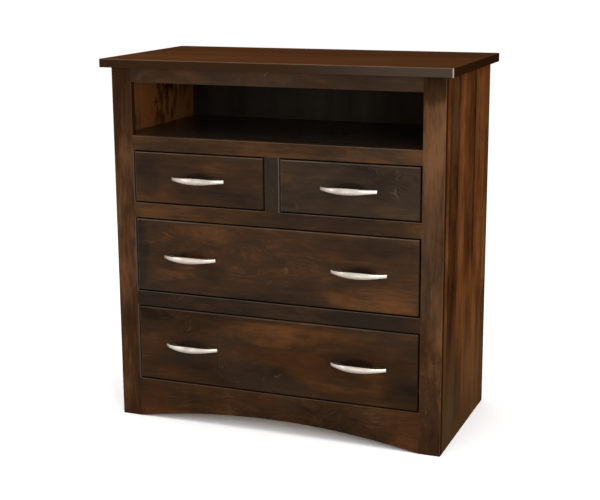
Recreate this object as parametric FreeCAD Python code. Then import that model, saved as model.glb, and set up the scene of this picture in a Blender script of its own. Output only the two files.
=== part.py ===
"""Four-drawer television chest in solid wood, with an open media cubby under an overhanging top.

Millimetres, +Z up, +X to the right seen from the front, +Y towards the back.
The origin is the middle of the chest's footprint, on the floor.
"""

import FreeCAD
import Part

import math
import os
from FreeCAD import Vector

# Case
case_width = 1016.0
case_depth = 508.0
side_thickness = 20.0
top_thickness = 25.0
top_front_overhang = 28.0
top_side_overhang = 25.0
top_back_overhang = 6.0
top_edge_round = 3.0
top_corner_round = 4.0
back_thickness = 6.0
back_rabbet_width = 10.0
back_floor_gap = 60.0

# Face frame, from the floor up
frame_thickness = 20.0
stile_width = 64.0
center_stile_width = 44.0
bottom_rail_height = 122.0
lower_opening_height = 234.0
lower_rail_height = 45.0
upper_opening_height = 227.0
upper_rail_height = 45.0
small_opening_height = 158.0
cubby_rail_height = 43.0
cubby_height = 157.0
top_rail_height = 44.0
arch_rise = 42.0
frame_edge_round = 2.5
frame_corner_round = 3.0
tenon_length = 25.0
tenon_thickness = 8.0
tenon_shoulder = 6.0
tenon_end_gap = 1.0

# Panels inside the case
shelf_thickness = 20.0
dust_panel_thickness = 12.0
dado_depth = 6.0
partition_thickness = 20.0
cleat_size = 22.0
cleat_end_gap = 30.0

# Drawers
reveal = 4.0
front_thickness = 20.0
front_edge_round = 5.0
box_board = 13.0
box_gap_behind = 32.0
box_gap_below = 10.0
box_gap_above = 15.0
bottom_thickness = 6.0
bottom_groove_depth = 6.0
bottom_groove_height = 10.0
tail_pitch = 38.0
tail_slope = 0.16
pin_share = 0.36

# Ball-bearing slides, beside each drawer box
slide_gap = 12.7
slide_height = 45.0
slide_setback = 3.0
slide_end_gap = 2.0
slide_sheet = 1.2
slide_web_gap = 0.8
slide_flange_cut = 2.2
ball_row_height = 3.6
slide_play = 0.3
slide_rise = 50.0
slide_block_height = 60.0

# Bow pulls and their screws
pull_length = 168.0
pull_centres = 128.0
pull_projection = 35.0
pull_thickness = 7.0
pull_end_depth = 5.0
pull_end_height = 10.0
pull_middle_height = 18.5
pull_foot_length = 27.0
pull_crown = 2.6
wide_pull_offset = 264.0
screw_diameter = 4.0
screw_play = 0.05
screw_hole_play = 0.25
screw_head_diameter = 8.0
screw_head_height = 2.4
screw_bite = 8.0

# Heights of the face frame's openings
lower_opening_z = bottom_rail_height
lower_rail_z = lower_opening_z + lower_opening_height
upper_opening_z = lower_rail_z + lower_rail_height
upper_rail_z = upper_opening_z + upper_opening_height
small_opening_z = upper_rail_z + upper_rail_height
cubby_rail_z = small_opening_z + small_opening_height
cubby_z = cubby_rail_z + cubby_rail_height
top_rail_z = cubby_z + cubby_height
case_height = top_rail_z + top_rail_height

# Widths and depths that several pieces share
half_case = case_width / 2
half_inside = half_case - side_thickness
half_opening = half_case - stile_width
half_center = center_stile_width / 2
inside_depth = case_depth - back_thickness
box_depth = inside_depth - front_thickness - box_gap_behind
slide_length = box_depth - slide_setback - slide_end_gap
# The chest, with its pulls, stands centred on the origin.
front_y = -(case_depth + top_back_overhang - pull_projection) / 2


def board(x0, x1, depth0, depth1, z0, z1):
    """A square-edged board between two heights, its depths measured back from the face frame's front."""
    corner = Vector(x0, front_y + depth0, z0)
    return Part.makeBox(x1 - x0, depth1 - depth0, z1 - z0, corner)


def prism(points, direction):
    """A straight-sided solid on a closed outline of points."""
    return Part.Face(Part.makePolygon(points + points[:1])).extrude(direction)


def rounded(solid, radius, chosen):
    """The solid with the chosen edges rounded."""
    return solid.makeFillet(radius, [edge for edge in solid.Edges if chosen(edge)])


def spans(edge, axis):
    """How far an edge reaches along one axis, 0 to 2."""
    box = edge.BoundBox
    return (box.XLength, box.YLength, box.ZLength)[axis]


def at_depth(edge, depth):
    """Whether an edge lies in the plane that many millimetres behind the face frame's front."""
    box = edge.BoundBox
    return abs(box.YMin - front_y - depth) < 0.01 and abs(box.YMax - front_y - depth) < 0.01


def group(solids):
    return Part.makeCompound(solids)


# Case panels

def make_top():
    """The overhanging top board, with eased edges and corners."""
    half = half_case + top_side_overhang
    slab = board(-half, half, -top_front_overhang, case_depth + top_back_overhang,
                 case_height, case_height + top_thickness)
    slab = rounded(slab, top_corner_round, lambda edge: spans(edge, 2) > top_thickness / 2)
    upper = case_height + top_thickness
    return rounded(slab, top_edge_round, lambda edge: edge.BoundBox.ZMin > upper - 0.01)


def panel_levels():
    """The bottom and top height of each level panel that is housed in the case sides."""
    return {
        "cubby_shelf": (cubby_z - shelf_thickness, cubby_z),
        "upper_dust_panel": (small_opening_z - dust_panel_thickness, small_opening_z),
        "lower_dust_panel": (upper_opening_z - dust_panel_thickness, upper_opening_z),
        "bottom_panel": (lower_opening_z - dust_panel_thickness, lower_opening_z),
    }


def make_level_panels():
    """The cubby's floor and the dust panels, each from the face frame to the back."""
    reach = half_inside + dado_depth
    return {
        name: board(-reach, reach, frame_thickness, inside_depth, low, high)
        for name, (low, high) in panel_levels().items()
    }


def make_back():
    reach = half_inside + back_rabbet_width
    return board(-reach, reach, inside_depth, case_depth, back_floor_gap, case_height)


def make_sides(level_panels, back):
    """Left and right sides, housed for the level panels and rabbeted for the back."""
    sides = {}
    for name, sign in (("left_side", -1), ("right_side", 1)):
        edges = sorted((sign * half_inside, sign * half_case))
        side = board(edges[0], edges[1], frame_thickness, case_depth, 0, case_height)
        rabbet = board(-half_inside - back_rabbet_width, half_inside + back_rabbet_width,
                       inside_depth, case_depth, 0, case_height)
        side = side.cut(rabbet)
        for panel in level_panels.values():
            side = side.cut(panel)
        sides[name] = rounded(side, frame_edge_round, lambda edge: outer_back_edge(edge, sign))
    return sides


def outer_back_edge(edge, sign):
    outside = abs(edge.BoundBox.XMin - sign * half_case) < 0.01
    return outside and spans(edge, 2) > case_height / 2 and at_depth(edge, case_depth)


def make_cleats():
    """Strips along the sides under the top, which hold it down."""
    cleats = []
    for sign in (-1, 1):
        edges = sorted((sign * half_inside, sign * (half_inside - cleat_size)))
        cleats.append(board(edges[0], edges[1], frame_thickness, inside_depth - cleat_end_gap,
                            case_height - cleat_size, case_height))
    return group(cleats)


def make_partition():
    """The upright panel between the two small drawers."""
    half = partition_thickness / 2
    return board(-half, half, frame_thickness, inside_depth, small_opening_z, cubby_z - shelf_thickness)


# Face frame

def openings():
    """Left, right, bottom and top of each opening in the face frame."""
    small_top = small_opening_z + small_opening_height
    return [
        (-half_opening, half_opening, cubby_z, cubby_z + cubby_height),
        (-half_opening, -half_center, small_opening_z, small_top),
        (half_center, half_opening, small_opening_z, small_top),
        (-half_opening, half_opening, upper_opening_z, upper_opening_z + upper_opening_height),
        (-half_opening, half_opening, lower_opening_z, lower_opening_z + lower_opening_height),
    ]


def arch_cutter():
    """The shallow arch between the feet, as one circular arc."""
    start = Vector(-half_opening, front_y, 0)
    end = Vector(half_opening, front_y, 0)
    arc = Part.Arc(start, Vector(0, front_y, arch_rise), end).toShape()
    face = Part.Face(Part.Wire([arc, Part.LineSegment(end, start).toShape()]))
    return face.extrude(Vector(0, frame_thickness, 0))


def frame_sheet():
    """The whole face frame in one piece, with its openings and eased edges, before it is parted."""
    sheet = board(-half_case, half_case, 0, frame_thickness, 0, case_height)
    for left, right, low, high in openings():
        sheet = sheet.cut(board(left, right, 0, frame_thickness, low, high))
    sheet = rounded(sheet, frame_edge_round, lambda edge: at_depth(edge, 0) and inner_edge(edge))
    corners = [edge for edge in sheet.Edges if at_depth(edge, 0) and spans(edge, 2) > case_height / 2]
    return sheet.makeFillet(frame_corner_round, corners).cut(arch_cutter())


def inner_edge(edge):
    """Whether a front edge belongs to an opening, not to the frame's outline."""
    box = edge.BoundBox
    inside_x = max(abs(box.XMin), abs(box.XMax)) < half_case - 1
    inside_z = box.ZMin > 1 and box.ZMax < case_height - 1
    return inside_x and inside_z


def frame_zones():
    """Where each member of the face frame lies, as left, right, bottom and top."""
    return {
        "left_stile": (-half_case, -half_opening, 0, case_height),
        "right_stile": (half_opening, half_case, 0, case_height),
        "bottom_rail": (-half_opening, half_opening, 0, bottom_rail_height),
        "lower_rail": (-half_opening, half_opening, lower_rail_z, upper_opening_z),
        "upper_rail": (-half_opening, half_opening, upper_rail_z, small_opening_z),
        "cubby_rail": (-half_opening, half_opening, cubby_rail_z, cubby_z),
        "top_rail": (-half_opening, half_opening, top_rail_z, case_height),
        "center_stile": (-half_center, half_center, small_opening_z, cubby_rail_z),
    }


def tenon(x0, x1, z0, z1):
    """A tenon in the middle of the frame's thickness."""
    shoulder = (frame_thickness - tenon_thickness) / 2
    return board(x0, x1, shoulder, shoulder + tenon_thickness, z0, z1)


def make_face_frame():
    """Stiles and rails parted from the sheet, joined by tenons in mortises."""
    sheet = frame_sheet()
    members = {}
    for name, (left, right, low, high) in frame_zones().items():
        members[name] = sheet.common(board(left, right, 0, frame_thickness, low, high)).Solids[0]
    for name, (left, right, low, high) in frame_zones().items():
        if not name.endswith("rail"):
            continue
        low_shoulder = tenon_shoulder + (arch_rise if name == "bottom_rail" else 0)
        for stile, sign in (("left_stile", -1), ("right_stile", 1)):
            ends = sorted((sign * half_opening, sign * (half_opening + tenon_length)))
            deep = sorted((sign * half_opening, sign * (half_opening + tenon_length + tenon_end_gap)))
            z0, z1 = low + low_shoulder, high - tenon_shoulder
            members[name] = members[name].fuse(tenon(ends[0], ends[1], z0, z1))
            members[stile] = members[stile].cut(tenon(deep[0], deep[1], z0, z1))
    half = half_center - tenon_shoulder
    for rail, z, sign in (("cubby_rail", cubby_rail_z, 1), ("upper_rail", small_opening_z, -1)):
        ends = sorted((z, z + sign * tenon_length))
        deep = sorted((z, z + sign * (tenon_length + tenon_end_gap)))
        members["center_stile"] = members["center_stile"].fuse(tenon(-half, half, ends[0], ends[1]))
        members[rail] = members[rail].cut(tenon(-half, half, deep[0], deep[1]))
    return {name: member.removeSplitter() for name, member in members.items()}


# Drawers

def drawers():
    """Each drawer's opening, as left, right, bottom and top, and where its pulls sit."""
    small_middle = (half_opening + half_center) / 2
    small_top = small_opening_z + small_opening_height
    wide = (-wide_pull_offset, wide_pull_offset)
    return {
        "left_small_drawer": (-half_opening, -half_center, small_opening_z, small_top, (-small_middle,)),
        "right_small_drawer": (half_center, half_opening, small_opening_z, small_top, (small_middle,)),
        "upper_wide_drawer": (-half_opening, half_opening, upper_opening_z, upper_rail_z, wide),
        "lower_wide_drawer": (-half_opening, half_opening, lower_opening_z, lower_rail_z, wide),
    }


def box_limits(opening):
    """Left, right, bottom and top of the drawer box that runs in an opening."""
    left, right, low, high = opening[:4]
    return left + slide_gap, right - slide_gap, low + box_gap_below, high - box_gap_above


def tails(x0, x1, end_depth, inward, z0, z1):
    """The dovetails on the end of a box side: wide at the end, narrow at the shoulder."""
    count = max(2, round((z1 - z0) / tail_pitch))
    pitch = (z1 - z0) / count
    flare = tail_slope * box_board
    half_end = pitch * (1 - pin_share) / 2 + flare / 2
    half_root = half_end - flare
    end_y = front_y + end_depth
    root_y = end_y + inward * box_board
    made = []
    for index in range(count):
        middle = z0 + (index + 0.5) * pitch
        made.append(prism([
            Vector(x0, end_y, middle - half_end),
            Vector(x0, end_y, middle + half_end),
            Vector(x0, root_y, middle + half_root),
            Vector(x0, root_y, middle - half_root),
        ], Vector(x1 - x0, 0, 0)))
    return made


def make_drawer_box(name, opening):
    """Dovetailed box: two walls with tails, a front and a back with pins, and a housed bottom."""
    left, right, low, high = box_limits(opening)
    first = front_thickness
    last = front_thickness + box_depth
    bottom_z = low + bottom_groove_height
    above_bottom = bottom_z + bottom_thickness
    bottom = board(left + box_board - bottom_groove_depth, right - box_board + bottom_groove_depth,
                   first + box_board - bottom_groove_depth, last, bottom_z, above_bottom)
    box_front = board(left, right, first, first + box_board, low, high)
    box_back = board(left, right, last - box_board, last, above_bottom, high)
    pieces = {}
    for side, x0, x1 in (("left_wall", left, left + box_board), ("right_wall", right - box_board, right)):
        wall = board(x0, x1, first, last, low, high)
        corners = (
            (first, 1, low, box_front),
            (last, -1, above_bottom, box_back),
        )
        for end_depth, inward, z0, end_board in corners:
            made = tails(x0, x1, end_depth, inward, z0, high)
            depths = sorted((end_depth, end_depth + inward * box_board))
            waste = board(x0, x1, depths[0], depths[1], z0, high)
            for tail in made:
                waste = waste.cut(tail)
            wall = wall.cut(waste)
            cut = end_board
            for tail in made:
                cut = cut.cut(tail)
            if end_board is box_front:
                box_front = cut
            else:
                box_back = cut
        pieces[side] = wall.cut(bottom)
    pieces["box_front"] = box_front.cut(bottom)
    pieces["back_wall"] = box_back
    pieces["bottom"] = bottom
    return {f"{name}_{part}": shape for part, shape in pieces.items()}


def make_front(opening):
    """The drawer's face, set flush in its opening with an even reveal."""
    left, right, low, high = opening[:4]
    slab = board(left + reveal, right - reveal, 0, front_thickness, low + reveal, high - reveal)
    return rounded(slab, front_edge_round, lambda edge: at_depth(edge, 0))


# Pulls

def along_y(x, z, radius, depth0, depth1):
    """A round bar, or the hole for one, along the depth of the chest."""
    return Part.makeCylinder(radius, depth1 - depth0, Vector(x, front_y + depth0, z), Vector(0, 1, 0))


def arc_radius(half_span, rise):
    """The radius of a circular arc from its half span and its rise."""
    return (half_span ** 2 + rise ** 2) / (2 * rise)


def bow_front(x, z):
    """The pull seen from the front: arcs that swell from narrow ends to a broad middle."""
    half = pull_length / 2
    low = pull_end_height / 2
    high = pull_middle_height / 2
    turn = (low + high) / 2
    radius = arc_radius(half, high - low) / 2
    swell = radius - math.sqrt(radius ** 2 - (half / 4) ** 2)
    edges = []
    for side in (1, -1):
        def at(across, up):
            return Vector(x + across, front_y - pull_projection, z + side * up)

        edges.append(Part.Arc(at(-half, low), at(-0.75 * half, low + swell), at(-half / 2, turn)).toShape())
        edges.append(Part.Arc(at(-half / 2, turn), at(0, high), at(half / 2, turn)).toShape())
        edges.append(Part.Arc(at(half / 2, turn), at(0.75 * half, low + swell), at(half, low)).toShape())
        edges.append(Part.LineSegment(at(side * half, low), at(side * half, -low)).toShape())
    outline = Part.Wire(Part.__sortEdges__(edges))
    return Part.Face(outline).extrude(Vector(0, pull_projection, 0))


def bow_barrel(x, z):
    """A barrel that bounds the bow's outside, so that the pull's front is crowned as well as bowed."""
    radius = arc_radius(pull_length / 2, pull_projection - pull_end_depth)
    crown_radius = arc_radius(pull_middle_height / 2, pull_crown)
    height = 0.6 * pull_middle_height
    shoulder = radius - crown_radius + math.sqrt(crown_radius ** 2 - height ** 2)
    centre = Vector(x, front_y - pull_projection + radius, z)

    def at(out, up):
        return centre + Vector(0, out, up)

    crown = Part.Arc(at(shoulder, -height), at(radius, 0), at(shoulder, height)).toShape()
    sides = Part.makePolygon([at(shoulder, height), at(0, height), at(0, -height), at(shoulder, -height)])
    face = Part.Face(Part.Wire([crown] + sides.Edges))
    return face.revolve(centre, Vector(0, 0, 1), 360)


def finger_hollow(x, z):
    """The round space between the pull's two feet."""
    depth = pull_projection - pull_thickness
    radius = arc_radius(pull_length / 2 - pull_foot_length, depth)
    centre = Vector(x, front_y - depth + radius, z - pull_middle_height)
    return Part.makeCylinder(radius, 2 * pull_middle_height, centre)


def make_pull(x, z):
    """One bow pull with a crowned front, drilled for two screws."""
    bow = bow_front(x, z).common(bow_barrel(x, z)).cut(finger_hollow(x, z))
    for sign in (-1, 1):
        hole = along_y(x + sign * pull_centres / 2, z, screw_diameter / 2 + screw_play, -screw_bite, 0)
        bow = bow.cut(hole)
    return bow.Solids[0]


def make_screw(x, z):
    """A pan-head screw from inside the drawer box into a pull's foot."""
    seat = front_thickness + box_board
    shank = along_y(x, z, screw_diameter / 2, -screw_bite, seat)
    head = along_y(x, z, screw_head_diameter / 2, seat, seat + screw_head_height)
    rim = [edge for edge in head.Edges if at_depth(edge, seat + screw_head_height)]
    head = head.makeChamfer(screw_head_height / 3, rim)
    return shank.fuse(head).removeSplitter()


# Slides

def channel(face_x, sign, near, web, far, half_height, depth0, depth1, z):
    """A pressed channel: a web and two flanges, from near to far off the face at face_x."""
    web_edges = sorted((face_x + sign * web, face_x + sign * (web + slide_sheet)))
    flange_edges = sorted((face_x + sign * near, face_x + sign * far))
    sheet = board(web_edges[0], web_edges[1], depth0, depth1, z - half_height, z + half_height)
    for up in (-1, 1):
        levels = sorted((z + up * half_height, z + up * (half_height - slide_sheet)))
        flange = board(flange_edges[0], flange_edges[1], depth0, depth1, levels[0], levels[1])
        sheet = sheet.fuse(flange)
    return sheet.removeSplitter()


def make_slide(face_x, sign, z):
    """Cabinet, middle and drawer members of one slide, with ball cages riding on the middle one."""
    depth0 = front_thickness + slide_setback
    depth1 = depth0 + slide_length
    half_outer = slide_height / 2
    half_middle = half_outer - slide_sheet - ball_row_height
    half_inner = half_middle - slide_sheet - ball_row_height
    middle_web = slide_sheet + slide_web_gap
    inner_web = slide_gap - slide_sheet
    inner_near = middle_web + slide_sheet + slide_web_gap
    flange_far = slide_gap - slide_flange_cut
    cabinet = channel(face_x, sign, 0, 0, flange_far, half_outer, depth0, depth1, z)
    middle = channel(face_x, sign, middle_web, middle_web, flange_far, half_middle, depth0, depth1, z)
    inner = channel(face_x, sign, inner_near, inner_web, slide_gap, half_inner, depth0, depth1, z)
    cage_edges = sorted((face_x + sign * inner_near, face_x + sign * (flange_far - slide_web_gap)))
    cage_length = slide_length / 2
    cages = []
    for up in (-1, 1):
        outer_row = sorted((z + up * half_middle, z + up * (half_middle + ball_row_height - slide_play)))
        cages.append(board(cage_edges[0], cage_edges[1], depth1 - cage_length, depth1, *outer_row))
        roof = half_middle - slide_sheet
        inner_row = sorted((z + up * roof, z + up * (roof - ball_row_height + slide_play)))
        cages.append(board(cage_edges[0], cage_edges[1], depth0, depth0 + cage_length, *inner_row))
    return cabinet, [middle] + cages, inner


def make_slide_block(face_x, back_x, z):
    """Packing that carries a slide level with the edge of the opening."""
    edges = sorted((face_x, back_x))
    half = slide_block_height / 2
    return board(edges[0], edges[1], frame_thickness, inside_depth, z - half, z + half)


def make_drawer(name, opening):
    """All pieces of one drawer, and the slide pieces and packing that carry it in the case."""
    left, right, low, high, pulls = opening
    pull_z = (low + high) / 2
    pieces = make_drawer_box(name, opening)
    front = make_front(opening)
    screws = []
    for x in pulls:
        for sign in (-1, 1):
            screw_x = x + sign * pull_centres / 2
            screws.append(make_screw(screw_x, pull_z))
            hole = along_y(screw_x, pull_z, screw_diameter / 2 + screw_hole_play,
                           0, front_thickness + box_board)
            front = front.cut(hole)
            pieces[f"{name}_box_front"] = pieces[f"{name}_box_front"].cut(hole)
    pieces[f"{name}_front"] = front
    pieces[f"{name}_pulls"] = group([make_pull(x, pull_z) for x in pulls])
    pieces[f"{name}_pull_screws"] = group(screws)

    slide_z = low + box_gap_below + slide_rise
    cabinet_members, middle_members, inner_members, blocks = [], [], [], []
    for face_x, sign in ((left, 1), (right, -1)):
        cabinet, middle, inner = make_slide(face_x, sign, slide_z)
        cabinet_members.append(cabinet)
        middle_members += middle
        inner_members.append(inner)
        carrier = partition_thickness / 2 if abs(face_x) < half_opening else half_inside
        back_x = carrier if face_x > 0 else -carrier
        blocks.append(make_slide_block(face_x, back_x, slide_z))
    pieces[f"{name}_slide_middle_members"] = group(middle_members)
    pieces[f"{name}_slide_inner_members"] = group(inner_members)
    return pieces, cabinet_members, blocks


def make_all():
    """Every node of the chest by name."""
    level_panels = make_level_panels()
    back = make_back()
    nodes = {"top_panel": make_top(), "back_panel": back, "top_cleats": make_cleats()}
    nodes.update(make_sides(level_panels, back))
    nodes.update(level_panels)
    nodes["drawer_partition"] = make_partition()
    nodes.update(make_face_frame())
    cabinet_members, blocks = [], []
    for name, opening in drawers().items():
        pieces, members, packing = make_drawer(name, opening)
        nodes.update(pieces)
        cabinet_members += members
        blocks += packing
    nodes["slide_cabinet_members"] = group(cabinet_members)
    nodes["slide_blocks"] = group(blocks)
    return nodes


def main():
    os.makedirs("parts", exist_ok=True)
    for name, shape in make_all().items():
        if not shape.isValid():
            raise ValueError(f"{name} is not a valid shape")
        shape.exportStep(os.path.join("parts", f"{name}.step"))


if __name__ == "__main__":
    main()
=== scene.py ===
import math
import random
from dataclasses import dataclass, replace

import bmesh
import bpy
from mathutils import Matrix, Vector


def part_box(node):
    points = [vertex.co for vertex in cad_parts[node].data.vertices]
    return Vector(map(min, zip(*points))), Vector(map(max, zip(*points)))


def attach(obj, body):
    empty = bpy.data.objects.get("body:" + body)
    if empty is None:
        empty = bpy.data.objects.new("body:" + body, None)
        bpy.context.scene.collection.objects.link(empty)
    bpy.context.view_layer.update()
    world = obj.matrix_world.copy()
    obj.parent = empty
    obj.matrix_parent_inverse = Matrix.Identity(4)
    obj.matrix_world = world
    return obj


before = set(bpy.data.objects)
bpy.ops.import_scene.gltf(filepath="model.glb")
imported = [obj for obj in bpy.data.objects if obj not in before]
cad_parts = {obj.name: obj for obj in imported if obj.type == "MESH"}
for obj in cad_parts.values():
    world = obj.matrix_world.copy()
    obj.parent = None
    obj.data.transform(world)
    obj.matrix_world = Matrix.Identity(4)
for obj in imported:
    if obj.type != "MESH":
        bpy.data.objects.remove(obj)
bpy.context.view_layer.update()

scene = bpy.context.scene
scene.view_settings.view_transform = "Standard"


# Camera: at the photograph's angle, for an image of 600 by 500

IMAGE_WIDTH = 600
FOCAL_PIXELS = 1272.7
SENSOR_WIDTH = 36.0
CLIP_END = 200.0
CAMERA_PLACE = Vector((1.3785, -3.5373, 1.4026))
CAMERA_YAW = math.radians(21.859)
CAMERA_PITCH = math.radians(12.570)
CAMERA_ROLL = math.radians(0.430)
SHIFT_PIXELS = (10, -15)


def turned(first, second, angle):
    """Two directions at a right angle, turned from the first towards the second."""
    c, s = math.cos(angle), math.sin(angle)
    return c * first + s * second, c * second - s * first


def make_camera():
    right, forward = turned(Vector((1, 0, 0)), Vector((0, 1, 0)), CAMERA_YAW)
    ahead, below = turned(forward, Vector((0, 0, -1)), CAMERA_PITCH)
    across, lower = turned(right, below, CAMERA_ROLL)
    data = bpy.data.cameras.new("camera")
    data.sensor_width = SENSOR_WIDTH
    data.lens = FOCAL_PIXELS * SENSOR_WIDTH / IMAGE_WIDTH
    data.shift_x = SHIFT_PIXELS[0] / IMAGE_WIDTH
    data.shift_y = SHIFT_PIXELS[1] / IMAGE_WIDTH
    data.clip_end = CLIP_END
    camera = bpy.data.objects.new("camera", data)
    turn = Matrix((across, -lower, -ahead)).transposed().to_4x4()
    camera.matrix_world = Matrix.Translation(CAMERA_PLACE) @ turn
    scene.collection.objects.link(camera)
    scene.camera = camera


make_camera()


# Node trees

# Sockets of the Mix node when it mixes colours
MIX_FACTOR, MIX_A, MIX_B, MIX_RESULT = 0, 6, 7, 2

# Distances, in half sizes, at which a soft oval or a board-like zone begins and is full
SPOT_FADE = (1.2, 0.55)
PATCH_END_FADE = (1.25, 0.75)
PATCH_SIDE_FADE = (1.06, 0.94)


class Tree:
    """A short way to write a material: each call adds a node and returns the output that is used."""

    def __init__(self, name):
        self.material = bpy.data.materials.new(name)
        self.material.use_nodes = True
        self.nodes = self.material.node_tree.nodes
        self.links = self.material.node_tree.links
        self.nodes.clear()

    def add(self, kind, out=0, values=None, **settings):
        node = self.nodes.new(kind)
        for key, value in settings.items():
            setattr(node, key, value)
        for key, value in (values or {}).items():
            self.put(node.inputs[key], value)
        return node.outputs[out]

    def put(self, socket, value):
        if isinstance(value, bpy.types.NodeSocket):
            self.links.new(value, socket)
        else:
            socket.default_value = value

    def finish(self, shader):
        out = self.nodes.new("ShaderNodeOutputMaterial")
        self.links.new(shader, out.inputs["Surface"])
        return self.material

    def math(self, operation, a, b=0.0, c=0.0):
        return self.add("ShaderNodeMath", values={0: a, 1: b, 2: c}, operation=operation)

    def total(self, *terms):
        """The sum of values, each with a weight."""
        result = None
        for value, weight in terms:
            part = self.math("MULTIPLY", value, weight)
            result = part if result is None else self.math("ADD", result, part)
        return result

    def product(self, first, *others):
        for other in others:
            first = self.math("MULTIPLY", first, other)
        return first

    def vector(self, operation, a, b=(0, 0, 0), out=0):
        return self.add("ShaderNodeVectorMath", out, {0: a, 1: b}, operation=operation)

    def parts(self, vector):
        """The parts of a vector along X, Y and Z."""
        return self.add("ShaderNodeSeparateXYZ", values={0: vector}).node.outputs

    def normal(self):
        """The parts of the surface's own normal along X, Y and Z."""
        return self.parts(self.add("ShaderNodeNewGeometry", "Normal"))

    def noise(self, where, stretch, detail, rough=0.5, distortion=0.0, out=0):
        return self.add("ShaderNodeTexNoise", out, {
            "Vector": self.vector("MULTIPLY", where, stretch), "Scale": 1.0, "Detail": detail,
            "Roughness": rough, "Distortion": distortion})

    def step(self, value, low, high, to_low=0.0, to_high=1.0):
        return self.add("ShaderNodeMapRange", interpolation_type="SMOOTHSTEP", values={
            "Value": value, "From Min": low, "From Max": high, "To Min": to_low, "To Max": to_high})

    def mix(self, factor, a, b, blend="MIX"):
        return self.add("ShaderNodeMix", MIX_RESULT, {MIX_FACTOR: factor, MIX_A: a, MIX_B: b},
                        data_type="RGBA", blend_type=blend)

    def ramp(self, value, stops):
        result = self.add("ShaderNodeValToRGB", values={0: value})
        elements = result.node.color_ramp.elements
        while len(elements) < len(stops):
            elements.new(0.5)
        for element, (place, colour) in zip(elements, stops):
            element.position = place
            element.color = colour
        return result

    def spot(self, where, place, size):
        """1 inside a soft oval on the face of a board."""
        away = self.vector("SUBTRACT", where, (*place, 0))
        away = self.vector("MULTIPLY", away, (1 / size[0], 1 / size[1], 0))
        return self.step(self.vector("LENGTH", away, out="Value"), *SPOT_FADE)

    def patch(self, where, place, size):
        """1 inside a board-like zone, with fairly crisp borders along the grain and soft ends."""
        away = self.vector("ABSOLUTE", self.vector("SUBTRACT", where, (*place, 0)))
        along, over, _ = self.parts(self.vector("MULTIPLY", away, (1 / size[0], 1 / size[1], 0)))
        return self.product(self.step(along, *PATCH_END_FADE), self.step(over, *PATCH_SIDE_FADE))


def linear(red, green, blue):
    """A colour given as it looks on a screen, 0 to 255, as linear light with alpha."""
    def one(value):
        value /= 255
        return value / 12.92 if value <= 0.04045 else ((value + 0.055) / 1.055) ** 2.4
    return one(red), one(green), one(blue), 1.0


# Kinds of wood

@dataclass
class Wood:
    """One kind of wood. Its colours are given as they look on a screen, 0 to 255."""
    dark: tuple
    middle: tuple
    pale: tuple
    grey: tuple         # zones that took the stain grey
    red: tuple          # zones that took it red
    mark: tuple         # strokes of the curled figure
    edge: tuple         # worn edges, lighter also by a painted highlight
    specular: float
    roughness: float
    cloud: float        # from here on, how much each layer of the figure shows
    blotch: float
    streak: float
    figure: float
    stroke: float
    fleck: float
    hue: float          # the grey and red zones
    wear_and_highlight: float         # the worn edges and their painted highlight
    right: float = 1.0  # the share of that wear and highlight on edges that look right; with 0 they get a painted shade
    dash: float = 0.0
    grey_below: float = 0.0   # how grey the wood is near the floor


FRONT = Wood(
    dark=(32, 21, 12), middle=(56, 36, 19), pale=(96, 60, 31), grey=(50, 41, 32), red=(78, 42, 20),
    mark=(106, 78, 53), edge=(124, 108, 92), specular=0.07, roughness=0.40,
    cloud=0.9, blotch=1.0, streak=0.25, figure=0.42, stroke=0.45, fleck=0.30,
    hue=0.5, wear_and_highlight=0.48, right=0.0, dash=0.14)
LOW = replace(FRONT, specular=0.03, figure=0.32, dash=0.08, wear_and_highlight=0.34)
RAIL = replace(LOW, figure=0.42, dash=0.34)
COOL = replace(FRONT, dark=(31, 22, 15), middle=(53, 39, 26), pale=(86, 63, 43), mark=(98, 82, 66))
STILE = Wood(
    dark=(36, 24, 15), middle=(64, 42, 25), pale=(108, 74, 50), grey=(60, 50, 40), red=(84, 46, 24),
    mark=(132, 96, 66), edge=(120, 92, 68), specular=0.0, roughness=0.5,
    cloud=0.8, blotch=0.9, streak=0.24, figure=0.40, stroke=0.30, fleck=0.45,
    hue=0.5, wear_and_highlight=0.40, dash=0.22)
SIDE = Wood(
    dark=(38, 21, 10), middle=(79, 45, 21), pale=(118, 72, 37), grey=(80, 60, 40), red=(98, 48, 22),
    mark=(126, 78, 40), edge=(112, 74, 42), specular=0.0, roughness=0.5,
    cloud=0.7, blotch=0.9, streak=0.38, figure=0.38, stroke=0.12, fleck=0.35,
    hue=0.5, wear_and_highlight=0.4, dash=0.16, grey_below=0.5)
TOP = Wood(
    dark=(60, 35, 19), middle=(77, 46, 25), pale=(96, 59, 33), grey=(70, 48, 32), red=(86, 49, 25),
    mark=(104, 66, 38), edge=(138, 116, 96), specular=0.0, roughness=0.5,
    cloud=0.35, blotch=0.35, streak=0.2, figure=0.2, stroke=0.08, fleck=0.2,
    hue=0.3, wear_and_highlight=0.45)
DARK = Wood(
    dark=(35, 31, 26), middle=(53, 46, 39), pale=(71, 61, 50), grey=(54, 48, 42), red=(59, 48, 38),
    mark=(76, 60, 46), edge=(78, 64, 50), specular=0.0, roughness=0.5,
    cloud=0.6, blotch=0.6, streak=0.2, figure=0.2, stroke=0.10, fleck=0.25,
    hue=0.4, wear_and_highlight=0.4)
SHELF = replace(
    DARK, dark=(25, 18, 14), middle=(38, 28, 21), pale=(52, 38, 29), specular=0.4, roughness=0.30,
    fleck=0.0)
MAPLE = Wood(
    dark=(178, 142, 102), middle=(208, 174, 134), pale=(226, 198, 162), grey=(196, 170, 138),
    red=(214, 170, 126), mark=(232, 208, 176), edge=(226, 202, 168), specular=0.2, roughness=0.45,
    cloud=0.4, blotch=0.5, streak=0.4, figure=0.3, stroke=0.15, fleck=0.25,
    hue=0.4, wear_and_highlight=0.3)
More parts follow.
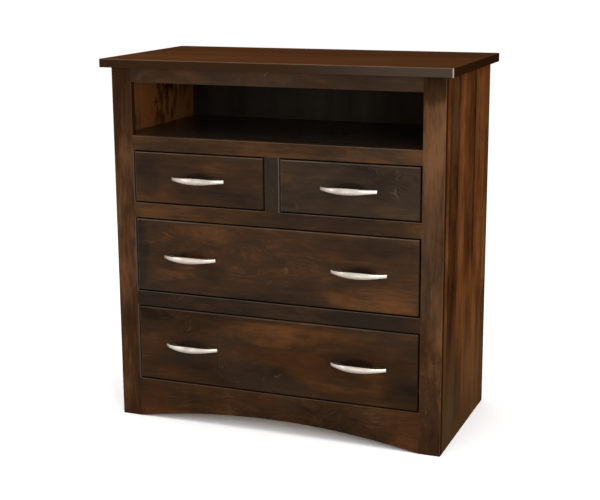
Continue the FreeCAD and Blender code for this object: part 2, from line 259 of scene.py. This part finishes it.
BIRCH = Wood(
    dark=(188, 152, 110), middle=(212, 182, 142), pale=(228, 204, 168), grey=(200, 176, 142),
    red=(216, 178, 132), mark=(234, 212, 178), edge=(186, 152, 112), specular=0.1, roughness=0.6,
    cloud=0.5, blotch=0.5, streak=0.3, figure=0.3, stroke=0.2, fleck=0.2,
    hue=0.4, wear_and_highlight=0.4)
INNER = Wood(
    dark=(152, 126, 86), middle=(186, 160, 116), pale=(206, 184, 140), grey=(170, 156, 118),
    red=(190, 152, 106), mark=(212, 190, 148), edge=(204, 182, 142), specular=0.1, roughness=0.6,
    cloud=0.5, blotch=0.5, streak=0.5, figure=0.3, stroke=0.1, fleck=0.3,
    hue=0.5, wear_and_highlight=0.3)


# Wood material

AXES = {"X": 0, "Y": 1, "Z": 2}

# Noise of each layer: waves per metre along the grain and across it, detail, roughness
LAYERS = {
    "sway": (1.8, 5.0, 2.0, 0.5),
    "curl_zone": (2.4, 5.0, 1.0, 0.5),
    "curl": (8, 13, 2.0, 0.5),
    "cloud": (1.5, 3.6, 2.0, 0.5),
    "blotch": (4.5, 11, 4.0, 0.58),
    "streak": (1.8, 34, 3.0, 0.55),
    "figure": (9, 85, 3.0, 0.6),
    "fibre": (22, 700, 2.0, 0.6),
    "dash": (30, 130, 2.0, 0.5),
    "mottle": (22, 34, 3.0, 0.6),
    "grey": (2.0, 5.0, 2.0, 0.5),
    "red": (3.4, 9.0, 3.0, 0.5),
    "stroke": (4.5, 8, 1.5, 0.5),
    "broken": (20, 44, 2.0, 0.5),
    "fleck": (18, 240, 1.0, 0.5),
    "wear_and_highlight": (9, 30, 3.0, 0.5),
}

# Values of a layer's noise at which it begins to show and shows in full
SHOWN = {
    "curl_zone": (0.54, 0.70),
    "mottle": (0.30, 0.70),
    "grey": (0.50, 0.72),
    "red": (0.54, 0.74),
    "broken": (0.50, 0.62),
    "fleck": (0.64, 0.74),
    "wear_and_highlight": (0.30, 0.60),
}

# Where each piece starts in the noise, by its seed
SEED_STEPS = (3.1, 1.7, 2.3)
SEED_SPANS = (7.3, 5.1, 6.7)

# Glued boards, and the joints between them
BOARD_STEP = 0.37
BOARD_RANDOMNESS = 0.7
BOARD_MOVE = (9, 3, 7)
BOARD_TONE = 0.5
JOINT_WIDTH = 0.0012
JOINT_DARK = 0.45

# How far the grain sways and curls, in metres, and how far stained zones follow the sway
SWAY_REACH = (0.20, 0.06, 0.06)
CURL_REACH = (0.16, 0.14, 0.14)
SETTLED = (0.3, 0.3, 0.3)

# Tones
FIBRE_TONE = 0.14
TONE_STOPS = (0.16, 0.5, 0.84)
# Painted shade just above each pull, for the pull's shadow and dark reflection on the drawer front
PULL_SHADE_OFFSET = (0.004, 0.006)
PULL_SHADE_SIZE = (0.042, 0.016)
PULL_SHADE_TONE = -0.34

# Strokes: lines of equal value in a twisted noise
STROKE_TWIST = 1.2
STROKE_LINES = 11.0
STROKE_WIDTH = (0.43, 0.495)

# Parts of the normal at which a face or edge begins and counts in full
END_FACE = (0.7, 0.95)
TINTED_FACE = (0.6, 0.9)
RIGHT_FACE = (0.3, 0.6)
# Right-hand edges that get a painted shade where a kind has no wear on them
RIGHT_EDGE = (0.2, 0.6)
# Upright corners that get a painted highlight
CORNER_EDGE = (0.1, 0.5)
# Rounded front edges: their wear, and a painted highlight strongest where they face up and, by each
# kind's share, on edges that look right
EDGE_ROUND = (0.985, 0.86)
EDGE_FORWARD = (-0.1, -0.3)
HIGHLIGHT_UPWARD = (-0.5, 0.3)
HIGHLIGHT_RIGHT = (0.1, 0.4)

# How much they change
END_DARK = 0.55
# painted shade on right-hand rounded edges
RIGHT_EDGE_SHADE = 0.8
TINT_FIGURE = 0.5
TINT_SPREAD = (0.0, 0.5)
# share of the wear and painted highlight left on edges that face down
HIGHLIGHT_UNDER = 0.10
WEAR_LEAST = 0.45
LIT_FADE = 0.004
GREY_BELOW_HEIGHTS = (0.5, 0.05)

# Surface
STREAK_ROUGH = 0.14
BLOTCH_ROUGH = 0.16
FIBRE_HEIGHT = 0.5
STREAK_HEIGHT = 0.5
FLECK_HEIGHT = -0.5
JOINT_HEIGHT = -0.7
WOOD_BUMP = {"Strength": 0.14, "Distance": 0.0006}


class WoodTree(Tree):
    """The material of one wooden piece, whose grain runs along one axis."""

    def __init__(self, name, kind, grain, across, seed, board):
        super().__init__(name)
        self.kind = kind
        self.dark = linear(*kind.dark)
        self.at = self.parts(self.add("ShaderNodeTexCoord", "Object"))
        self.facing = self.normal()
        self.end = self.facing[AXES[grain]]
        self.terms = []
        self.joint = None
        through = next(axis for axis in AXES if axis not in (grain, across))
        along, over, deep = (self.at[AXES[axis]] for axis in (grain, across, through))
        self.place = self.add("ShaderNodeCombineXYZ", values={"X": along, "Y": over, "Z": deep})
        start = [step * seed % span for step, span in zip(SEED_STEPS, SEED_SPANS)]
        self.point = self.vector("ADD", self.place, start)
        if board:
            self.lay_boards(over, seed, board)
        sway = self.drift("sway", SWAY_REACH)
        self.swayed = self.vector("ADD", self.point, sway)
        self.marked = self.vector("ADD", self.place, sway)
        self.settled = self.vector("ADD", self.place, self.vector("MULTIPLY", sway, SETTLED))

    def layer(self, name, where, distortion=0.0, out=0):
        along, across, detail, rough = LAYERS[name]
        return self.noise(where, (along, across, across), detail, rough, distortion, out)

    def shown(self, name, where, to_low=0.0, to_high=1.0):
        return self.step(self.layer(name, where), *SHOWN[name], to_low, to_high)

    def drift(self, name, reach):
        """A layer as a small move of the point at which others are read."""
        move = self.vector("SUBTRACT", self.layer(name, self.point, out="Color"), (0.5, 0.5, 0.5))
        return self.vector("MULTIPLY", move, reach)

    def lay_boards(self, over, seed, width):
        """Glued boards of uneven width, each with a tone and figure of its own."""
        where = self.math("MULTIPLY_ADD", over, 1 / width, BOARD_STEP * seed)
        choice = {"W": where, "Scale": 1.0, "Randomness": BOARD_RANDOMNESS}
        cell = self.add("ShaderNodeTexVoronoi", "Color", choice,
                        voronoi_dimensions="1D", feature="F1")
        gap = self.add("ShaderNodeTexVoronoi", "Distance", choice,
                       voronoi_dimensions="1D", feature="DISTANCE_TO_EDGE")
        self.point = self.vector("ADD", self.point, self.vector("MULTIPLY", cell, BOARD_MOVE))
        tone = self.add("ShaderNodeSeparateColor", "Green", {0: cell})
        self.terms.append((tone, BOARD_TONE * self.kind.blotch))
        self.joint = self.step(gap, 0.0, JOINT_WIDTH / width, 1.0, 0.0)

    def lay_figure(self, curls):
        """The figure, from wide clouds down to fibres, and the zones where it curls."""
        kind = self.kind
        self.curl_zone = self.shown("curl_zone", self.point)
        for zone in curls:
            inside = self.spot(self.marked, zone[:2], zone[2:])
            self.curl_zone = self.math("MAXIMUM", self.curl_zone, inside)
        curl = self.add("ShaderNodeVectorMath", operation="SCALE", values={
            0: self.drift("curl", CURL_REACH), "Scale": self.curl_zone})
        self.curled = self.vector("ADD", self.swayed, curl)
        self.blotch = self.layer("blotch", self.curled)
        self.streak = self.layer("streak", self.curled)
        self.fibre = self.layer("fibre", self.curled)
        self.terms += [
            (self.layer("cloud", self.swayed), kind.cloud), (self.blotch, kind.blotch),
            (self.streak, kind.streak), (self.layer("figure", self.curled), kind.figure),
            (self.fibre, FIBRE_TONE)]
        if kind.dash:
            self.terms.append((self.layer("dash", self.curled), kind.dash))
        self.level = sum(weight for _, weight in self.terms) / 2

    def lay_zones(self, spots, mottles, pull_shades, patches):
        for zone in spots:
            self.terms.append((self.spot(self.settled, zone[:2], zone[2:4]), zone[4]))
        for *zone, change, even in mottles:
            mottle = self.product(
                self.shown("mottle", self.point, even), self.spot(self.settled, zone[:2], zone[2:]),
                self.step(self.facing[0], *RIGHT_FACE))
            self.terms.append((mottle, change))
        # painted shade just above each pull, for its shadow and dark reflection
        for pull in pull_shades:
            place = [a + b for a, b in zip(pull, PULL_SHADE_OFFSET)]
            self.terms.append((self.spot(self.place, place, PULL_SHADE_SIZE), PULL_SHADE_TONE))
        for zone in patches:
            self.terms.append((self.patch(self.settled, zone[:2], zone[2:4]), zone[4]))

    def stained(self, tone):
        """The colour of the figure, with its grey and red zones, strokes and flecks."""
        kind = self.kind
        shade = self.math("ADD", self.total(*self.terms), 0.5 - self.level + tone)
        colours = (self.dark, linear(*kind.middle), linear(*kind.pale))
        colour = self.ramp(shade, list(zip(TONE_STOPS, colours)))
        grey = self.shown("grey", self.swayed, 0.0, kind.hue)
        colour = self.mix(grey, colour, linear(*kind.grey))
        red = self.shown("red", self.curled, 0.0, kind.hue)
        colour = self.mix(red, colour, linear(*kind.red))
        stroke = self.layer("stroke", self.curled, STROKE_TWIST)
        stroke = self.math("PINGPONG", self.math("MULTIPLY", stroke, STROKE_LINES), 0.5)
        stroke = self.product(
            self.step(stroke, *STROKE_WIDTH), self.shown("broken", self.point), self.curl_zone)
        colour = self.mix(self.math("MULTIPLY", stroke, kind.stroke), colour, linear(*kind.mark))
        self.fleck = self.shown("fleck", self.curled)
        return self.mix(self.math("MULTIPLY", self.fleck, kind.fleck), colour, self.dark)

    def edge_wear_and_highlight(self):
        """Above 0 on the rounded front edges, for their wear and a painted highlight: most where they
        face up, by a share to the right.
        """
        across, deep, up = self.facing
        size = [self.math("ABSOLUTE", part) for part in self.facing]
        most = self.math("MAXIMUM", self.math("MAXIMUM", size[0], size[1]), size[2])
        return self.product(
            self.step(most, *EDGE_ROUND), self.step(deep, *EDGE_FORWARD),
            self.step(up, *HIGHLIGHT_UPWARD, HIGHLIGHT_UNDER, 1.0),
            self.step(across, *HIGHLIGHT_RIGHT, 1.0, self.kind.right),
            self.shown("wear_and_highlight", self.point, WEAR_LEAST))

    def faced(self, colour, faces, corner_highlight, lit):
        """The colour with what depends on where a face looks, and on its height."""
        kind = self.kind
        height = self.at[2]
        # greyer towards the floor
        if kind.grey_below:
            grey_below = self.step(height, *GREY_BELOW_HEIGHTS, 0.0, kind.grey_below)
            colour = self.mix(grey_below, colour, linear(*kind.grey))
        end = self.step(self.math("ABSOLUTE", self.end), *END_FACE, 0.0, END_DARK)
        colour = self.mix(end, colour, self.dark)
        for axis, left, right in faces:
            tint = self.mix(self.step(self.at[0], *TINT_SPREAD), linear(*left), linear(*right))
            tint = self.mix(TINT_FIGURE, tint, colour, "SOFT_LIGHT")
            face = self.step(self.math("ABSOLUTE", self.facing[AXES[axis]]), *TINTED_FACE)
            colour = self.mix(face, colour, tint)
        # worn edges with a painted highlight
        colour = self.mix(self.math("MULTIPLY", self.edge_wear_and_highlight(), kind.wear_and_highlight), colour, linear(*kind.edge))
        # painted shade on right-hand rounded edges, where a kind has no wear there
        if not kind.right:
            edge = self.step(self.facing[0], *RIGHT_EDGE, 0.0, RIGHT_EDGE_SHADE)
            colour = self.mix(edge, colour, self.dark)
        if lit:
            tint, top = lit
            below = self.step(height, top, top - LIT_FADE)
            inside = self.product(below, self.step(self.facing[0], *RIGHT_FACE))
            colour = self.mix(inside, colour, linear(*tint))
        # painted highlight on upright corners
        if corner_highlight:
            least = self.math("MINIMUM", *(self.math("ABSOLUTE", part) for part in self.facing[:2]))
            colour = self.mix(self.step(least, *CORNER_EDGE), colour, linear(*corner_highlight))
        return colour

    def surfaced(self, colour):
        """The finished material, with its gloss, and the relief of fibres, flecks and joints."""
        height = [(self.fibre, FIBRE_HEIGHT), (self.streak, STREAK_HEIGHT)]
        if self.kind.fleck:
            height.append((self.fleck, FLECK_HEIGHT))
        if self.joint:
            colour = self.mix(self.math("MULTIPLY", self.joint, JOINT_DARK), colour, self.dark)
            height.append((self.joint, JOINT_HEIGHT))
        rough = self.total((self.streak, STREAK_ROUGH), (self.blotch, BLOTCH_ROUGH))
        rough_level = (STREAK_ROUGH + BLOTCH_ROUGH) / 2
        rough = self.math("ADD", rough, self.kind.roughness - rough_level)
        bump = self.add("ShaderNodeBump", values={**WOOD_BUMP, "Height": self.total(*height)})
        return self.finish(self.add("ShaderNodeBsdfPrincipled", values={
            "Specular IOR Level": self.kind.specular, "Base Color": colour, "Roughness": rough,
            "Normal": bump}))


def wood(name, kind, grain, across, seed, tone=0.0, board=0.0, spots=(), patches=(), mottles=(),
         curls=(), pull_shades=(), faces=(), corner_highlight=None, lit=None):
    """Wood with its grain along one axis, and another axis across its face. Board is the mean width of
    glued boards. A zone is a place and a half size along and across the grain: spots are soft ovals,
    patches have crisp borders, and each has a tone. Mottles are zones of a face that looks right, and
    have a tone and a share that isn't broken into marks. In curls the figure is curled. At each pull
    place given, a painted shade darkens the face just above the pull, for its shadow and dark
    reflection. Faces that look along an axis may have a tint of their own, from one colour at the
    middle to another at the right. Upright corners may get a painted highlight of a colour, and faces
    that look right into a drawer's gap may be lit to one, below a height."""
    tree = WoodTree(name, kind, grain, across, seed, board)
    tree.lay_figure(curls)
    tree.lay_zones(spots, mottles, pull_shades, patches)
    return tree.surfaced(tree.faced(tree.stained(tone), faces, corner_highlight, lit))


# Metal

BRUSH = {"X": (30, 2600, 2600), "Y": (2600, 30, 2600)}
BRUSH_SHOWN = (0.55, 0.8)
BRUSH_DULL = 0.18
BRUSH_ROUGH = 0.16
HAZE_WAVES = (34, 34, 34)
HAZE_SHOWN = (0.35, 0.75)
HAZE_ROUGH = 0.12
# Facing at which the painted shade underneath begins and is full
UNDERSIDE_SHADE = (0.35, -0.70)
BEVEL_SAMPLES = 6
METAL_BUMP = {"Strength": 0.10, "Distance": 0.0002}


def metal(name, colour, dull, shade_below, roughness, brush, soft):
    """Plated metal: fine brushing along one axis, a painted shade on faces that look down, soft edges.
    """
    tree = Tree(name)
    place = tree.add("ShaderNodeTexCoord", "Object")
    scratch = tree.noise(place, BRUSH[brush], 2.0, 0.6)
    haze = tree.noise(place, HAZE_WAVES, 3.0, 0.6)
    tint = tree.mix(tree.step(haze, *HAZE_SHOWN), linear(*colour), linear(*dull))
    # painted shade on faces that look down
    tint = tree.mix(tree.step(tree.normal()[2], *UNDERSIDE_SHADE), tint, linear(*shade_below))
    brushed = tree.math("MULTIPLY", tree.step(scratch, *BRUSH_SHOWN), BRUSH_DULL)
    tint = tree.mix(brushed, tint, linear(*dull))
    rough = tree.total((scratch, BRUSH_ROUGH), (haze, HAZE_ROUGH))
    rough = tree.math("ADD", rough, roughness - (BRUSH_ROUGH + HAZE_ROUGH) / 2)
    round_edge = tree.add("ShaderNodeBevel", values={"Radius": soft}, samples=BEVEL_SAMPLES)
    bump = tree.add("ShaderNodeBump", values={**METAL_BUMP, "Height": scratch, "Normal": round_edge})
    return tree.finish(tree.add("ShaderNodeBsdfPrincipled", values={
        "Metallic": 1.0, "Base Color": tint, "Roughness": rough, "Normal": bump}))


# The third colour of each metal is a painted shade for faces that look down.
nickel = metal("satin_nickel", colour=(206, 196, 184), dull=(184, 174, 162), shade_below=(112, 102, 92),
               roughness=0.34, brush="X", soft=0.0016)
zinc = metal("zinc_steel", colour=(200, 204, 208), dull=(164, 168, 174), shade_below=(140, 144, 150),
             roughness=0.36, brush="Y", soft=0.0004)


# Finish of each wooden node

GAP_TOP = 0.836
STILE_SIDES = [("X", (60, 36, 20), (60, 36, 20))]
SMALL_PULL_X = 0.233
WIDE_PULL_X = 0.264
SMALL_PULL_Z = 0.752
UPPER_PULL_Z = 0.5145
LOWER_PULL_Z = 0.239

FINISHES = {
    # On the top, the front face's tint is a painted shade that turns into a grey painted reflection
    # towards the right, and the corner colour is a painted highlight
    "top_panel": dict(
        kind=TOP, grain="X", across="Y", tone=-0.04, board=0.14, corner_highlight=(168, 156, 144),
        faces=[("Y", (68, 49, 34), (86, 76, 67)), ("X", (46, 26, 14), (54, 31, 17))]),
    "left_side": dict(
        kind=SIDE, grain="Z", across="Y", board=0.10,
        # The first, even zone is painted light that brightens the cubby's inner wall; the others are
        # dark marks.
        mottles=[(0.95, 0.02, 0.12, 0.40, 0.33, 1.0), (0.94, 0.055, 0.10, 0.10, -0.75, 0.0),
                 (0.92, -0.12, 0.03, 0.05, -0.5, 0.0), (0.98, 0.15, 0.03, 0.09, -0.6, 0.0),
                 (0.95, 0.22, 0.10, 0.03, -0.3, 0.0)]),
    "right_side": dict(
        kind=SIDE, grain="Z", across="Y", tone=0.05, board=0.10,
        patches=[(0.60, -0.155, 0.60, 0.066, -0.14), (0.76, 0.00, 0.34, 0.078, 0.14),
                 (0.28, 0.06, 0.17, 0.085, 0.18), (0.15, -0.05, 0.10, 0.04, -0.14),
                 (0.33, -0.11, 0.14, 0.04, 0.10)]),
    "left_stile": dict(
        kind=STILE, grain="Z", across="X", tone=-0.05, faces=STILE_SIDES,
        lit=((84, 77, 69), GAP_TOP)),
    "right_stile": dict(
        kind=STILE, grain="Z", across="X", tone=-0.02, faces=STILE_SIDES,
        # The lighter spots on its upper part are a painted sheen.
        spots=[(1.05, 0.476, 0.05, 0.06, -0.16), (0.93, 0.476, 0.13, 0.06, 0.26),
               (0.70, 0.476, 0.14, 0.05, 0.14)]),
    "center_stile": dict(
        kind=COOL, grain="Z", across="X", tone=-0.05, lit=((90, 83, 75), GAP_TOP)),
    "top_rail": dict(kind=FRONT, grain="X", across="Z", tone=-0.02),
    "cubby_rail": dict(
        kind=FRONT, grain="X", across="Z", tone=0.03, seed=77,
        spots=[(0.33, 0.852, 0.14, 0.05, 0.22), (-0.30, 0.852, 0.14, 0.05, -0.05)]),
    "upper_rail": dict(
        kind=FRONT, grain="X", across="Z", tone=-0.03,
        patches=[(-0.24, 0.65, 0.21, 0.05, 0.04), (0.24, 0.65, 0.22, 0.05, -0.06)]),
    "lower_rail": dict(
        kind=FRONT, grain="X", across="Z", tone=-0.29,
        spots=[(0.34, 0.378, 0.13, 0.05, -0.34)],
        curls=[(-0.25, 0.378, 0.05, 0.03)]),
    "bottom_rail": dict(
        kind=RAIL, grain="X", across="Z", tone=-0.12,
        spots=[(0.36, 0.07, 0.10, 0.05, 0.10)],
        patches=[(-0.36, 0.06, 0.085, 0.09, 0.06), (-0.22, 0.06, 0.055, 0.09, -0.10),
                 (-0.10, 0.06, 0.055, 0.09, 0.06)],
        curls=[(-0.11, 0.07, 0.05, 0.03), (0.32, 0.07, 0.08, 0.03)]),
    "left_small_drawer_front": dict(
        kind=FRONT, grain="X", across="Z", tone=-0.02,
        spots=[(-0.16, 0.79, 0.07, 0.025, 0.12), (-0.40, 0.75, 0.04, 0.07, -0.1),
               (-0.22, 0.702, 0.20, 0.028, -0.13)],
        pull_shades=[(-SMALL_PULL_X, SMALL_PULL_Z)]),
    "right_small_drawer_front": dict(
        kind=COOL, grain="X", across="Z", tone=-0.08,
        curls=[(0.36, 0.77, 0.08, 0.05)],
        pull_shades=[(SMALL_PULL_X, SMALL_PULL_Z)]),
    "upper_wide_drawer_front": dict(
        kind=FRONT, grain="X", across="Z",
        spots=[(0.28, 0.590, 0.16, 0.035, -0.20), (0.32, 0.440, 0.17, 0.045, 0.24),
               (-0.43, 0.51, 0.03, 0.12, -0.22), (-0.30, 0.585, 0.12, 0.02, 0.11),
               (-0.20, 0.48, 0.06, 0.03, -0.18), (-0.36, 0.46, 0.07, 0.02, 0.14),
               (-0.02, 0.53, 0.10, 0.05, 0.10)],
        curls=[(-0.02, 0.530, 0.15, 0.06), (-0.36, 0.59, 0.06, 0.02), (-0.34, 0.455, 0.08, 0.02)],
        pull_shades=[(-WIDE_PULL_X, UPPER_PULL_Z), (WIDE_PULL_X, UPPER_PULL_Z)]),
    "lower_wide_drawer_front": dict(
        kind=LOW, grain="X", across="Z", tone=-0.05, seed=91,
        spots=[(0.40, 0.17, 0.07, 0.08, -0.16), (-0.15, 0.19, 0.24, 0.03, -0.06),
               (0.28, 0.27, 0.13, 0.03, -0.03)],
        patches=[(-0.14, 0.306, 0.195, 0.034, 0.11), (0.035, 0.285, 0.022, 0.055, 0.03)],
        pull_shades=[(-WIDE_PULL_X, LOWER_PULL_Z), (WIDE_PULL_X, LOWER_PULL_Z)]),
    "cubby_shelf": dict(kind=SHELF, grain="X", across="Y", tone=0.1, board=0.12),
    "back_panel": dict(
        kind=DARK, grain="Z", across="X", spots=[(0.95, -0.42, 0.20, 0.16, -0.30)]),
    "upper_dust_panel": dict(kind=BIRCH, grain="X", across="Y"),
    "lower_dust_panel": dict(kind=BIRCH, grain="X", across="Y"),
    "bottom_panel": dict(kind=BIRCH, grain="X", across="Y"),
    "drawer_partition": dict(kind=INNER, grain="Y", across="Z", board=0.09),
    "top_cleats": dict(kind=INNER, grain="Y", across="Z"),
    "slide_blocks": dict(kind=INNER, grain="Y", across="Z"),
}
BOX_FINISHES = {
    "box_front": dict(kind=MAPLE, grain="X", across="Z"),
    "back_wall": dict(kind=MAPLE, grain="X", across="Z"),
    "left_wall": dict(kind=MAPLE, grain="Y", across="Z"),
    "right_wall": dict(kind=MAPLE, grain="Y", across="Z"),
    "bottom": dict(kind=BIRCH, grain="X", across="Y"),
}
DRAWERS = ("left_small_drawer", "right_small_drawer", "upper_wide_drawer", "lower_wide_drawer")
for drawer in DRAWERS:
    for piece, finish in BOX_FINISHES.items():
        FINISHES[f"{drawer}_{piece}"] = finish


def dress(node, material):
    node.data.materials.clear()
    node.data.materials.append(material)


for number, (name, node) in enumerate(sorted(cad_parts.items())):
    if name in FINISHES:
        dress(node, wood(f"wood_{name}", **{"seed": number + 1, **FINISHES[name]}))
    elif name.endswith("_pulls"):
        dress(node, nickel)
    else:
        dress(node, zinc)


# Screws that hold the back panel: low domed heads with a cross recess

# The head's profile: each ring's radius and height, as shares of the head's own
SCREW_RINGS = ((1.0, 0.0), (1.0, 0.12), (0.95, 0.45), (0.82, 0.74), (0.62, 0.94), (0.54, 1.0))
SCREW_RADIUS = 0.0042
SCREW_RISE = 0.0019
SCREW_SIDES = 20
CROSS_REACH = 0.42
CROSS_HALF = 0.11
CROSS_DEPTH = 0.75
CROSS_TAPER = 0.55
SCREW_SEED = 7
SCREW_CREASE = math.radians(40)
SIDE_SCREW_X = 0.4932
SIDE_SCREW_COUNT = 6
SIDE_SCREW_ENDS = (0.10, 1.045)
SHELF_SCREW_X = (-0.36, -0.12, 0.12, 0.36)
SHELVES = ("cubby_shelf", "upper_dust_panel", "lower_dust_panel", "bottom_panel")


def screw_places():
    low, high = SIDE_SCREW_ENDS
    for number in range(SIDE_SCREW_COUNT):
        for side in (-1, 1):
            yield side * SIDE_SCREW_X, low + (high - low) * number / (SIDE_SCREW_COUNT - 1)
    for shelf in SHELVES:
        lowest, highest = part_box(shelf)
        for x in SHELF_SCREW_X:
            yield x, (lowest[2] + highest[2]) / 2


def screw_head(mesh, x, y, z, turn):
    """A lathed head on the face at y that looks back, with a cross sunk into it at its own angle."""
    c, s = math.cos(turn), math.sin(turn)

    def point(across, up, out):
        return mesh.verts.new((
            x + SCREW_RADIUS * (c * across - s * up), y + SCREW_RISE * out,
            z + SCREW_RADIUS * (s * across + c * up)))

    def ring(radius, out):
        angles = [2 * math.pi * k / SCREW_SIDES for k in range(SCREW_SIDES)]
        return [point(radius * math.cos(a), radius * math.sin(a), out) for a in angles]

    def cross(scale, out):
        r, h = CROSS_REACH * scale, CROSS_HALF * scale
        corners = ((r, -h), (r, h), (h, h), (h, r), (-h, r), (-h, h),
                   (-r, h), (-r, -h), (-h, -h), (-h, -r), (h, -r), (h, -h))
        return [point(across, up, out) for across, up in corners]

    def wall(low, high):
        for k in range(len(low)):
            mesh.faces.new((low[k], low[k - 1], high[k - 1], high[k]))

    rings = [ring(*size) for size in SCREW_RINGS]
    for low, high in zip(rings, rings[1:]):
        wall(low, high)
    rim, sunk = cross(1.0, 1.0), cross(CROSS_TAPER, 1.0 - CROSS_DEPTH)
    edges = []
    for loop in (rings[-1], rim):
        for k in range(len(loop)):
            ends = (loop[k - 1], loop[k])
            edges.append(mesh.edges.get(ends) or mesh.edges.new(ends))
    bmesh.ops.bridge_loops(mesh, edges=edges)
    wall(rim, sunk)
    mesh.faces.new(sunk)


def make_screws():
    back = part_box("back_panel")[1][1]
    mesh = bmesh.new()
    turns = random.Random(SCREW_SEED)
    for x, z in screw_places():
        screw_head(mesh, x, back, z, turns.uniform(0, math.pi / 2))
    bmesh.ops.recalc_face_normals(mesh, faces=mesh.faces)
    for face in mesh.faces:
        face.smooth = True
    data = bpy.data.meshes.new("back_panel_screws")
    mesh.to_mesh(data)
    mesh.free()
    data.set_sharp_from_angle(angle=SCREW_CREASE)
    data.materials.append(zinc)
    screws = bpy.data.objects.new("back_panel_screws", data)
    scene.collection.objects.link(screws)
    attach(screws, "carcass")


make_screws()


# Floor, light and background

FLOOR_SIZE = 60.0
FLOOR_HEIGHT = -0.0005
FLOOR_COLOUR = (0.80, 0.80, 0.80, 1)
FLOOR_SEEN = (1.64, 1.64, 1.64, 1)
WORLD_LIGHT = 0.62
WORLD_SEEN = 1.0

# Place, target, width, height and power in watts
SOFTBOXES = {
    "key_softbox": ((2.4, -3.0, 1.3), (0.0, -0.1, 0.6), 1.4, 1.4, 34),
    "right_softbox": ((3.2, -1.4, 0.9), (0.4, 0.0, 0.6), 1.4, 1.8, 22),
    "overhead_softbox": ((-0.2, -0.5, 2.8), (0.0, 0.0, 1.0), 3.2, 2.2, 22),
    "low_softbox": ((-0.9, -5.2, 0.55), (0.3, 0.0, 0.9), 1.3, 1.0, 10),
    "left_softbox": ((-3.2, -2.6, 1.2), (0.0, -0.2, 0.6), 1.2, 1.6, 12),
}


def seen_directly(tree):
    """1 for what the camera, a reflection or a clear surface shows, 0 for light on the object."""
    path = tree.nodes.new("ShaderNodeLightPath")
    total = path.outputs["Is Camera Ray"]
    for name in ("Is Glossy Ray", "Is Transmission Ray"):
        most = tree.nodes.new("ShaderNodeMath")
        most.operation = "MAXIMUM"
        tree.links.new(total, most.inputs[0])
        tree.links.new(path.outputs[name], most.inputs[1])
        total = most.outputs[0]
    return total


def make_floor():
    tree = Tree("pale_floor")
    colour = tree.mix(seen_directly(tree), FLOOR_COLOUR, FLOOR_SEEN)
    diffuse = tree.add("ShaderNodeBsdfDiffuse", values={"Color": colour})
    mesh = bpy.data.meshes.new("floor")
    s = FLOOR_SIZE
    mesh.from_pydata([(-s, -s, 0), (s, -s, 0), (s, s, 0), (-s, s, 0)], [], [(0, 1, 2, 3)])
    mesh.materials.append(tree.finish(diffuse))
    floor = bpy.data.objects.new("floor", mesh)
    floor.location.z = FLOOR_HEIGHT
    scene.collection.objects.link(floor)


def make_world():
    world = bpy.data.worlds.new("studio")
    scene.world = world
    world.use_nodes = True
    tree = world.node_tree
    background = tree.nodes["Background"]
    background.inputs["Color"].default_value = (1, 1, 1, 1)
    strength = tree.nodes.new("ShaderNodeMapRange")
    strength.inputs["To Min"].default_value = WORLD_LIGHT
    strength.inputs["To Max"].default_value = WORLD_SEEN
    tree.links.new(seen_directly(tree), strength.inputs["Value"])
    tree.links.new(strength.outputs[0], background.inputs["Strength"])


def make_softbox(name, place, target, width, height, power):
    data = bpy.data.lights.new(name, "AREA")
    data.shape = "RECTANGLE"
    data.size = width
    data.size_y = height
    data.energy = power
    light = bpy.data.objects.new(name, data)
    light.location = place
    towards = Vector(target) - Vector(place)
    light.rotation_euler = towards.to_track_quat("-Z", "Y").to_euler()
    scene.collection.objects.link(light)


make_floor()
make_world()
for name, settings in SOFTBOXES.items():
    make_softbox(name, *settings)
